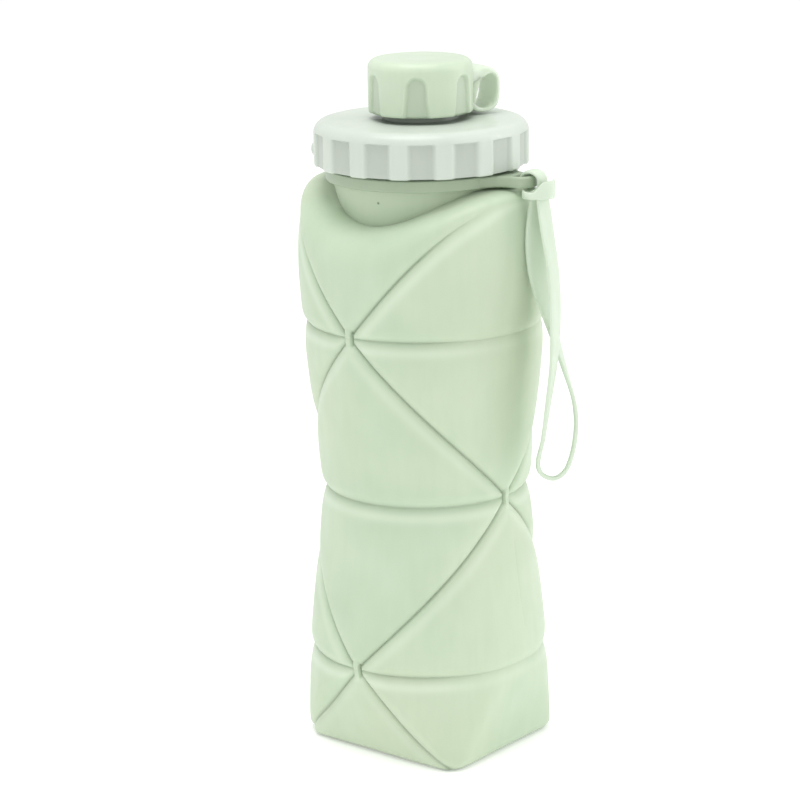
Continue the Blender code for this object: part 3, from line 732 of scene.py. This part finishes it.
def moulded(name, tone, deep, rough, grain, mottling=0.35, warm=None, painted_shade_share=None, vent=False):
    """Moulded polymer: cloudy tone, flow marks, dust specks and a pin-fine grain."""
    look = Shading(name)
    cloud = look.remap(look.noise(38.0, 2.0, 0.55), 0.35, 0.7, 0.0, mottling)
    tint = look.mix(cloud, tone, deep)
    if warm is not None:
        patch = look.remap(look.noise(17.0, 1.5, 0.5), 0.42, 0.66, 0.0, 0.6)
        tint = look.mix(patch, tint, warm)
    flow = look.remap(look.noise(260.0, 3.0, 0.6, (1.0, 1.0, 0.16)), 0.4, 0.7, 0.0, 0.16)
    tint = look.mix(flow, tint, deep)
    # painted shade and painted light from the mesh's paint
    if painted_shade_share is not None:
        tint = paint_shade_and_highlight(look, tint, deep, painted_shade_share)
    if vent:
        tint = paint_vent(look, tint)
    dust = look.remap(look.noise(2300.0, 2.0, 0.7), 0.74, 0.8, 0.0, 0.35)
    tint = look.mix(dust, tint, colour(238, 242, 236))
    patchy = look.remap(look.noise(75.0, 4.0, 0.6), 0.3, 0.75, rough - 0.06, rough + 0.09)
    skin = look.bump(look.noise(5200.0, 2.0, 0.6), grain, 0.00008)
    wave = look.bump(look.noise(120.0, 2.0, 0.5), 0.10, 0.0006)
    look.put(wave.inputs["Normal"], skin.outputs[0])
    look.fixed(Base_Color=tint, Roughness=patchy, Normal=wave.outputs[0])
    return look


def silicone_material():
    look = moulded(
        "silicone_sage", colour(194, 211, 185), colour(176, 197, 168), 0.52, 0.14,
        mottling=0.5, warm=colour(199, 210, 183), painted_shade_share=0.5, vent=True,
    )
    look.fixed(Subsurface_Weight=0.12, Subsurface_Scale=0.004, Specular_IOR_Level=0.42)
    look.fixed(Sheen_Weight=0.12, Sheen_Roughness=0.5)
    return look.material


def lid_material():
    look = moulded(
        "pp_lid_sage", colour(207, 215, 205), colour(187, 199, 185), 0.34, 0.10, painted_shade_share=0.85,
    )
    look.fixed(Subsurface_Weight=0.08, Subsurface_Scale=0.002, Specular_IOR_Level=0.5)
    return look.material


def cap_material():
    look = moulded(
        "pp_cap_sage", colour(203, 218, 195), colour(183, 201, 175), 0.34, 0.08, painted_shade_share=0.5,
    )
    look.fixed(Subsurface_Weight=0.35, Subsurface_Scale=0.005, Specular_IOR_Level=0.5)
    return look.material


def ring_material():
    # the ring's own sage, set darker to carry a painted shadow of the lid above it
    look = moulded("ring_sage", colour(166, 182, 157), colour(151, 170, 144), 0.42, 0.10)
    look.fixed(Subsurface_Weight=0.08, Subsurface_Scale=0.002)
    return look.material


def strap_material():
    look = moulded("strap_sage", colour(208, 222, 202), colour(191, 209, 185), 0.48, 0.16)
    look.fixed(Subsurface_Weight=0.15, Subsurface_Scale=0.003, Sheen_Weight=0.15)
    return look.material


def insert_material():
    return moulded("pp_insert", colour(206, 218, 205), colour(184, 200, 185), 0.38, 0.08).material


def seal_material():
    look = moulded("seal_silicone", colour(226, 230, 224), colour(206, 214, 205), 0.45, 0.12)
    look.fixed(Subsurface_Weight=0.3, Subsurface_Scale=0.002)
    return look.material


# ------------------------------------------------------------------ neck, lid and cap

def neck_insert():
    profile = [
        (24.7, 178.5, 0.5), (24.7, 190.9, 0.2), (29.4, 190.9, 0.4), (29.4, 204.6, 0.7),
        (27.0, 204.6, 0.7), (27.0, 193.1, 0.8), (22.6, 193.1, 1.0), (22.6, 178.5, 0.5),
    ]
    made = revolve("neck_insert_fine", profile, "neck", 180, ["neck_insert"])
    add_shells(made, double_thread(29.4 * MM, 30.7 * MM, 196.8 * MM, 0.9))
    finish_mesh(made, insert_material())


def gaskets():
    look = seal_material()
    for node, name, body, outer, inner, steps in (
        ("lid_gasket", "lid_seal_ring", "lid_seal", 29.2, 27.0, 180),
        ("cap_gasket", "cap_seal_ring", "cap_seal", 12.4, 8.6, 120),
    ):
        low, high = (corner[2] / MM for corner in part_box(node))
        rim = [(outer, low, 0.4), (outer, high, 0.4), (inner, high, 0.4), (inner, low, 0.4)]
        finish_mesh(revolve(name, rim, body, steps, [node]), look)


def flute_wave(angle):
    """1 on a raised bar and 0 in a sunk one, with short soft walls between them."""
    phase = (angle * FLUTES / (2 * math.pi) - LID_PHASE) % 1.0
    from_bar = np.minimum(phase, 1.0 - phase)
    return 1.0 - smooth_step(from_bar, 0.15, 0.29)


def gate_lump():
    """The small lump at the foot of one flute, where the moulding was gated."""
    turn = np.linspace(0, 2 * math.pi, 16, endpoint=False)
    rows = []
    for share in np.linspace(-0.98, 0.98, 13):
        size = math.sqrt(1 - share**2) * MM
        out = 34.7 * MM + 1.55 * size * np.cos(turn)
        z = 200.2 * MM + 2.4 * MM * share
        rows.append(turned_points(out, 2.0 * size * np.sin(turn), z, GATE_TURN))
    return np.array(rows)


def lid():
    """Fluted shell, its plate and the spout that stands on it."""
    steps = 720
    angle = np.linspace(0, 2 * math.pi, steps, endpoint=False)
    wave = flute_wave(angle)
    rows, paint = [], []

    def row(radius, z, flute=0.0, lift=0.0, shade_paint=0.0):
        # painted shade on the outer wall only: a little on the bars, and more in the sunk flutes
        side = flute * (radius > 33.2 * MM) * (0.12 + 0.34 * (1 - wave))
        paint.append(np.clip(side + shade_paint, 0.0, 1.0))
        floor = (LID_RADIUS - FLUTE) * flute + radius * (1 - flute)
        r = radius * wave + smooth_min(radius, floor, 0.25 * MM) * (1 - wave)
        rows.append(ring_points(r, angle, z + lift * (1 - wave)))

    # from the bore's foot round the bottom lip, up the flutes and over the rounded edge
    lip, edge = 0.8 * MM, 3.9 * MM
    row(LID_BORE, LID_BOTTOM + 0.3 * MM)
    row(32.0 * MM, LID_BOTTOM)
    row(34.0 * MM, LID_BOTTOM, 0.7, 0.25 * MM)
    for slope in np.radians(np.linspace(-80, 0, 6)):
        z = LID_BOTTOM + lip + lip * math.sin(slope)
        row(LID_RADIUS - lip * (1 - math.cos(slope)), z, 1.0, 0.3 * MM)
    for z in np.linspace(LID_BOTTOM + 1.4 * MM, LID_TOP - edge, 10):
        row(LID_RADIUS, z, 1.0)
    fluted = [(3, 1.0), (6, 0.9), (8, 0.45), (10, 0.1)]
    for turn, flute in fluted + [(turn, 0.0) for turn in range(13, 90, 5)]:
        slope = math.radians(turn)
        z = LID_TOP - edge + edge * math.sin(slope)
        row(LID_RADIUS - edge * (1 - math.cos(slope)), z, flute)
    # in over the plate, up the spout and down its bore, then out under the plate and down
    # painted shadow of the cap, darkest on the plate next to the spout
    for radius, shade_paint in ((30.0, 0.0), (26.0, 0.0), (20.0, 0.0), (17.5, 0.05), (16.4, 0.3), (15.0, 0.8)):
        row(radius * MM, LID_TOP, shade_paint=shade_paint)
    row(13.8 * MM, LID_TOP, shade_paint=1.0)
    spout = [
        (12.8, 210.4), (12.4, 210.7), (12.4, 211.8), (12.3, 212.0), (12.0, 212.2), (12.0, 213.0),
        (12.0, 224.3), (11.8, 224.8), (11.3, 225.0), (9.7, 225.0), (9.2, 224.8), (9.0, 224.3),
        (9.0, 208.0), (9.3, 207.3), (10.0, 207.0), (16.0, 207.0), (24.0, 207.0), (31.0, 207.0),
        (31.5, 206.8), (31.6, 206.3), (31.6, 201.0),
    ]
    # painted shadow of the cap on the spout's foot, carried on through the rows under the plate
    for radius, z in spout:
        row(radius * MM, z * MM, shade_paint=1.0 if z < 213.5 and radius > 11.0 else 0.0)
    faces = grid_faces(len(rows), steps, closed_rows=True).tolist()
    made = make_object("lid_shell", np.array(rows).reshape(-1, 3), faces, "lid", ["lid"])
    shells = double_thread(LID_BORE, 30.1 * MM, 198.4 * MM, 0.7)
    shells += double_thread(SPOUT_RADIUS, 13.2 * MM, 214.6 * MM, 0.9)
    add_shells(made, shells + [gate_lump()])
    mark(made, np.array(paint).reshape(-1))
    finish_mesh(made, lid_material(), 50.0)


def grip_share(angle, z):
    """1 inside the cap's sunk grips: arches that widen to the foot."""
    share = np.zeros(angle.shape)
    low_share = np.clip((GRIP_ARCH - z) / (9.0 * MM), 0.0, 1.0)
    half = 3.4 * MM + 0.9 * MM * low_share**1.4
    rise = max(z - GRIP_ARCH, 0.0)
    for k in range(GRIPS):
        if k == 2:
            continue  # the carry loop is there
        centre = math.radians(GRIP_TURN + 360.0 / GRIPS * k)
        aside = np.abs(angle_gap(angle, centre)) * CAP_RADIUS
        inside = half - np.hypot(aside, rise)
        share = np.maximum(share, smooth_step(inside, -0.5 * MM, 0.9 * MM))
    return share


def loop_band(path, wide):
    """A band that follows a path of (out, height, thickness) on the carry loop's bearing."""
    across = np.array([-math.sin(LOOP_TURN), math.cos(LOOP_TURN), 0.0])
    spots = turned_points(path[:, 0], 0.0, path[:, 1], LOOP_TURN)
    return band_rows(spots, across, path[:, 2], wide, 32, 4.5)


def carry_loop():
    """The loop on the cap's side, wider at its root, and the web that fills it out there."""
    path = spline(LOOP_PATH, 8) * MM
    near_root = np.clip((20.5 * MM - path[:, 0]) / (5.0 * MM), 0.0, 1.0)
    loop = loop_band(path, (12.0 + 2.4 * near_root**1.5) * MM)
    return loop, loop_band(spline(WEB_PATH, 6) * MM, 12.6 * MM)


def cap():
    """Small cap: domed edge, sunk grips, hollow inside, with its carry loop."""
    steps = 900
    angle = np.linspace(0, 2 * math.pi, steps, endpoint=False)
    rows, paint = [], []

    def row(radius, z, grip=0.0):
        sunk = grip_share(angle, z) * grip
        rows.append(ring_points(radius - GRIP_DEPTH * sunk, angle, z))
        # painted shade in the sunk grips
        paint.append(0.42 * sunk)

    lip, edge = 0.9 * MM, 3.0 * MM
    row(CAP_BORE, CAP_BOTTOM + 0.4 * MM)
    row(14.5 * MM, CAP_BOTTOM)
    row(15.8 * MM, CAP_BOTTOM)
    for slope in np.radians(np.linspace(-75, 0, 5)):
        z = CAP_BOTTOM + lip + lip * math.sin(slope)
        row(CAP_RADIUS - lip * (1 - math.cos(slope)), z, 1.0)
    for z in np.linspace(CAP_BOTTOM + 1.2 * MM, CAP_TOP - edge, 64):
        row(CAP_RADIUS, z, 1.0)
    for slope in np.radians(np.linspace(5, 85, 16)):
        row(CAP_RADIUS - edge * (1 - math.cos(slope)), CAP_TOP - edge + edge * math.sin(slope))
    for radius, drop in ((12.5, 0.02), (9.0, 0.0), (5.0, 0.0), (2.0, 0.0)):
        row(radius * MM, CAP_TOP - drop * MM)
    inside = len(rows) * steps
    for radius, z in ((2.0, 227.4), (8.0, 227.4), (13.4, 227.4), (14.0, 227.2), (14.2, 226.6), (14.2, 220.0)):
        row(radius * MM, z * MM)
    faces = grid_faces(len(rows), steps, closed_rows=True).tolist()
    # the top is closed by a disc outside and another inside, instead of a wall between them
    faces = faces[: inside - steps] + faces[inside:]
    faces.append(list(range(inside - steps, inside)))
    faces.append(list(range(inside, inside + steps))[::-1])
    made = make_object("cap_shell", np.array(rows).reshape(-1, 3), faces, "cap", ["cap"])
    loop, web = carry_loop()
    add_shells(made, [loop, web] + double_thread(CAP_BORE, 12.7 * MM, 216.2 * MM, 0.8, 0.037))
    # painted light: the whole carry loop is paler, standing in for light thrown up onto it off the lid
    loop_painted_light = np.full(loop.shape[0] * loop.shape[1], -0.9)
    mark(made, np.concatenate([np.array(paint).reshape(-1), loop_painted_light]))
    finish_mesh(made, cap_material(), 50.0)


# ------------------------------------------------------------------ strap ring and strap

def strap_loop():
    across, toward = view_axes()
    route = spline(STRAP_ROUTE, 8)
    points = (route[:, :1] * across + route[:, 1:2] * toward + route[:, 2:3] * UP) * MM
    turn = np.radians(route[:, 3:4])
    sides = np.cos(turn) * across + np.sin(turn) * (toward + BAND_LEAN * UP)
    pinch = 1 - 0.1 * np.clip((points[:, 2] / MM - 183.0) / 6.0, 0.0, 1.0)
    rows = band_rows(points, sides, STRAP_THICK, STRAP_WIDE * pinch, 24, 5.0)
    made = band("wrist_strap", rows, "strap", ["strap_loop"])
    finish_mesh(made, strap_material(), 45.0)
    return made


def hitch_bight():
    """The bight of the hitch, over the ear's bar and down through its slot."""
    turn = np.radians(np.linspace(-118, 208, 50))
    out = np.where(np.cos(turn) > 0, 3.55, 3.35) * MM
    tall = np.where(np.sin(turn) > 0, 3.15, 3.35) * MM
    points = turned_points(BAR + out * np.cos(turn), 0.7 * MM, Z_BAR + tall * np.sin(turn), EAR)
    side = np.array([-math.sin(EAR), math.cos(EAR), 0.0])
    return band_rows(points, side, 1.25 * MM, 5.2 * MM, 20, 4.0)


def hitch_cup():
    """The cup that draws both strands together, taller on its outer side."""
    across, toward = view_axes()
    turn = np.linspace(0, 2 * math.pi, 72, endpoint=False)[:, None]
    c, s = np.cos(turn), np.sin(turn)
    reach = (np.abs(c) ** 2.6 + np.abs(s) ** 2.6) ** (-1 / 2.6)
    outer_side = (np.cos(turn - VIEW + EAR) + 1) / 2
    low = 188.3 * MM + 0.35 * MM * np.abs(s)
    high = 190.85 * MM + 3.6 * MM * smooth_step(outer_side, 0.55, 0.95)
    tall, thick = section(1.0, 1.0, 16, 3.2).T
    a = HITCH_A + (4.8 + 1.1 * thick) * MM * reach * c
    b = HITCH_B + (4.9 + 1.1 * thick) * MM * reach * s
    z = (low + high) / 2 + (high - low) * tall
    return a[..., None] * across + b[..., None] * toward + z[..., None] * UP


def strap_hitch(look):
    made = band("strap_bight", hitch_bight(), "strap", ["strap_hitch"])
    wrap = band("strap_cup", hitch_cup(), "strap", closed=True)
    finish_mesh(made, look, 45.0)
    finish_mesh(wrap, look, 45.0)


def drawn_plate(outlines, tall, edge):
    """A flat plate with a rounded edge, from its outline and its holes. Gives a mesh."""
    curve = bpy.data.curves.new("plate_outline", "CURVE")
    curve.dimensions = "2D"
    curve.fill_mode = "BOTH"
    curve.extrude = tall / 2 - edge
    curve.bevel_depth = edge
    curve.bevel_resolution = 6
    curve.offset = -edge
    for points in outlines:
        line = curve.splines.new("POLY")
        line.points.add(len(points) - 1)
        for spot, place in zip(line.points, points):
            spot.co = (place[0], place[1], 0.0, 1.0)
        line.use_cyclic_u = True
    drawn = bpy.data.objects.new("plate_drawn", curve)
    bpy.context.scene.collection.objects.link(drawn)
    depsgraph = bpy.context.evaluated_depsgraph_get()
    mesh = bpy.data.meshes.new_from_object(drawn.evaluated_get(depsgraph))
    bpy.data.objects.remove(drawn)
    bpy.data.curves.remove(curve)
    mesh.transform(Matrix.Translation((0.0, 0.0, Z_BAR)))
    return mesh


def ear_outline(out, aside):
    """An outline in millimetres, out from the axis and aside from the ear's bearing."""
    return turned_points(np.array(out) * MM, np.array(aside) * MM, 0.0, EAR)


def strap_ring():
    """Flat ring with one ear: a round-edged tongue with the strap's slot near its end."""
    turn = np.linspace(0, 2 * math.pi, 180, endpoint=False)
    rims = [ear_outline(r * np.cos(turn), r * np.sin(turn)) for r in (31.3, 29.8)]
    ring = drawn_plate(rims, 3.9 * MM, 0.55 * MM)
    neck = [(28.5, -12.2), (30.0, -10.0), (31.4, -8.2), (32.9, -6.6), (34.6, -5.6), (36.4, -5.1)]
    tip = [(SLOT + 5.0 * math.cos(t), 5.0 * math.sin(t)) for t in np.radians(np.linspace(-84, 84, 29))]
    ear = ear_outline(*zip(*(neck + tip + [(out, -aside) for out, aside in neck[::-1]])))
    turn = np.linspace(0, 2 * math.pi, 36, endpoint=False)
    reach = (np.cos(turn) ** 4 + np.sin(turn) ** 4) ** (-1 / 4)
    slot = ear_outline(SLOT + 2.3 * reach * np.cos(turn), 3.3 * reach * np.sin(turn))
    tongue = drawn_plate([ear, slot], 3.7 * MM, 0.8 * MM)
    bm = bmesh.new()
    bm.from_mesh(ring)
    bm.from_mesh(tongue)
    bmesh.ops.remove_doubles(bm, verts=bm.verts, dist=0.000005)
    bmesh.ops.recalc_face_normals(bm, faces=bm.faces)
    bm.to_mesh(ring)
    bm.free()
    ring.polygons.foreach_set("use_smooth", [True] * len(ring.polygons))
    made = bpy.data.objects.new("ring_with_ear", ring)
    bpy.context.scene.collection.objects.link(made)
    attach(made, "ring")
    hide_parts("strap_ring")
    finish_mesh(made, ring_material(), 35.0)


# ------------------------------------------------------------------ build

add_camera()
strap = strap_loop()
add_world()
add_lights()
add_floor()
silicone = silicone_material()
foot = silicone_piece("body_foot", 0.0, Z_C, "base", ["base_tier"])
middle = silicone_piece("body_folds", Z_C, Z_A, "base", ["lower_tier", "upper_tier"])
shoulder = silicone_piece("body_shoulder", Z_A, TOP, "neck", ["shoulder_tier"])
for piece in (foot, middle, shoulder):
    finish_mesh(piece, silicone, 60.0)
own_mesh(middle)
neck_insert()
gaskets()
lid()
cap()
strap_ring()
strap_hitch(strap_material())
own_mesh(strap)
